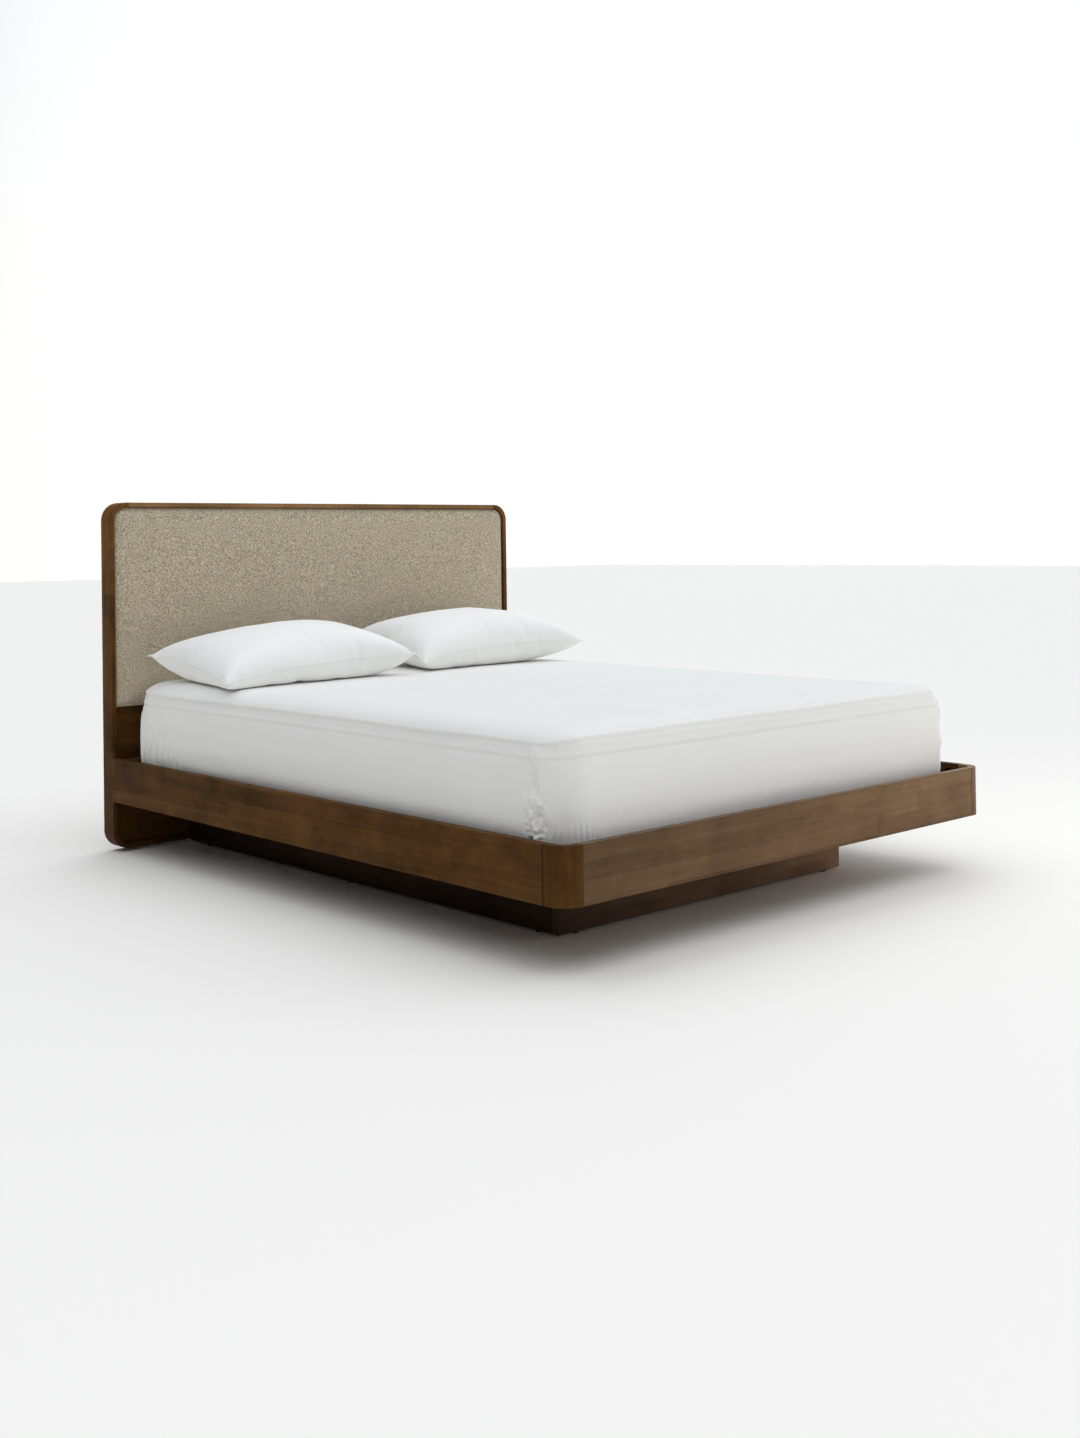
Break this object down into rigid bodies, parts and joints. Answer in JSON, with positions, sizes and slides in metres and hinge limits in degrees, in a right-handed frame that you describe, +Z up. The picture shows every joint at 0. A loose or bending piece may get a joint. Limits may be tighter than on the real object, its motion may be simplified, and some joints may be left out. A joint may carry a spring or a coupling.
{
  "type": "platform bed",
  "caption": "Floating platform bed: walnut rails overhang a dark recessed plinth, with a framed tweed headboard, slatted base, mattress, fitted sheet and pillows.",
  "frame": {"origin": "on the floor, under the middle of the whole bed's box", "axes": "+X to the right seen from the foot, +Y from the foot to the headboard, +Z up"},
  "size_m": [1.66, 2.142, 1.1073],
  "materials": {
    "headboard_walnut": "satin",
    "rail_walnut": "satin",
    "plinth_espresso": "satin",
    "base_pine": "matte",
    "backing_plywood": "matte",
    "pad_tweed": "matte",
    "mattress_ticking": "matte",
    "sheet_cotton": "matte",
    "pillow_cotton": "matte",
    "zinc_steel": "satin",
    "glide_plastic": "matte"
  },
  "bodies": {
    "bed_frame": {"bracket_bolt_left": "zinc_steel", "bracket_bolt_right": "zinc_steel", "centre_beam": "base_pine", "cross_bearer_1": "base_pine", "cross_bearer_2": "base_pine", "cross_bearer_3": "base_pine", "foot_corner_bolt_left": "zinc_steel", "foot_corner_bolt_right": "zinc_steel", "foot_corner_left": "rail_walnut", "foot_corner_right": "rail_walnut", "foot_rail": "rail_walnut", "headboard_bottom_rail": "headboard_walnut", "headboard_corner_bottom_left": "headboard_walnut", "headboard_corner_bottom_right": "headboard_walnut", "headboard_corner_top_left": "headboard_walnut", "headboard_corner_top_right": "headboard_walnut", "headboard_mounting_batten": "base_pine", "headboard_panel": "headboard_walnut", "headboard_stile_left": "headboard_walnut", "headboard_stile_right": "headboard_walnut", "headboard_top_rail": "headboard_walnut", "pad_backing_board": "backing_plywood", "plinth_divider": "plinth_espresso", "plinth_foot": "plinth_espresso", "plinth_head": "plinth_espresso", "plinth_side_left": "plinth_espresso", "plinth_side_right": "plinth_espresso", "rail_bracket_left": "zinc_steel", "rail_bracket_right": "zinc_steel", "side_corner_bolt_left": "zinc_steel", "side_corner_bolt_right": "zinc_steel", "side_rail_left": "rail_walnut", "side_rail_right": "rail_walnut", "slat_01": "base_pine", "slat_02": "base_pine", "slat_03": "base_pine", "slat_04": "base_pine", "slat_05": "base_pine", "slat_06": "base_pine", "slat_07": "base_pine", "slat_08": "base_pine", "slat_09": "base_pine", "slat_10": "base_pine", "slat_11": "base_pine", "slat_12": "base_pine", "slat_ledger_left": "base_pine", "slat_ledger_right": "base_pine", "upholstered_pad": "pad_tweed"},
    "mattress": {"mattress": "mattress_ticking", "fitted_sheet": "sheet_cotton"},
    "left_pillow": {"pillow_left": "pillow_cotton"},
    "right_pillow": {"pillow_right": "pillow_cotton"},
    "glide_foot_left": {"glide_foot_left": "glide_plastic"},
    "glide_foot_right": {"glide_foot_right": "glide_plastic"},
    "glide_left_1": {"glide_left_1": "glide_plastic"},
    "glide_left_2": {"glide_left_2": "glide_plastic"},
    "glide_left_3": {"glide_left_3": "glide_plastic"},
    "glide_right_1": {"glide_right_1": "glide_plastic"},
    "glide_right_2": {"glide_right_2": "glide_plastic"},
    "glide_right_3": {"glide_right_3": "glide_plastic"}
  },
  "joints": [
    {"name": "mattress_lift", "type": "slide", "parent": "bed_frame", "child": "mattress", "axis": [0, 0, 1], "range_m": [0, 0.6]},
    {"name": "left_pillow_lift", "type": "slide", "parent": "mattress", "child": "left_pillow", "axis": [0, 0, 1], "range_m": [0, 0.4]},
    {"name": "right_pillow_lift", "type": "slide", "parent": "mattress", "child": "right_pillow", "axis": [0, 0, 1], "range_m": [0, 0.4]},
    {"name": "glide_foot_left_level", "type": "slide", "parent": "bed_frame", "child": "glide_foot_left", "axis": [0, 0, -1], "range_m": [0, 0.01]},
    {"name": "glide_foot_right_level", "type": "slide", "parent": "bed_frame", "child": "glide_foot_right", "axis": [0, 0, -1], "range_m": [0, 0.01]},
    {"name": "glide_left_1_level", "type": "slide", "parent": "bed_frame", "child": "glide_left_1", "axis": [0, 0, -1], "range_m": [0, 0.01]},
    {"name": "glide_left_2_level", "type": "slide", "parent": "bed_frame", "child": "glide_left_2", "axis": [0, 0, -1], "range_m": [0, 0.01]},
    {"name": "glide_left_3_level", "type": "slide", "parent": "bed_frame", "child": "glide_left_3", "axis": [0, 0, -1], "range_m": [0, 0.01]},
    {"name": "glide_right_1_level", "type": "slide", "parent": "bed_frame", "child": "glide_right_1", "axis": [0, 0, -1], "range_m": [0, 0.01]},
    {"name": "glide_right_2_level", "type": "slide", "parent": "bed_frame", "child": "glide_right_2", "axis": [0, 0, -1], "range_m": [0, 0.01]},
    {"name": "glide_right_3_level", "type": "slide", "parent": "bed_frame", "child": "glide_right_3", "axis": [0, 0, -1], "range_m": [0, 0.01]}
  ]
}
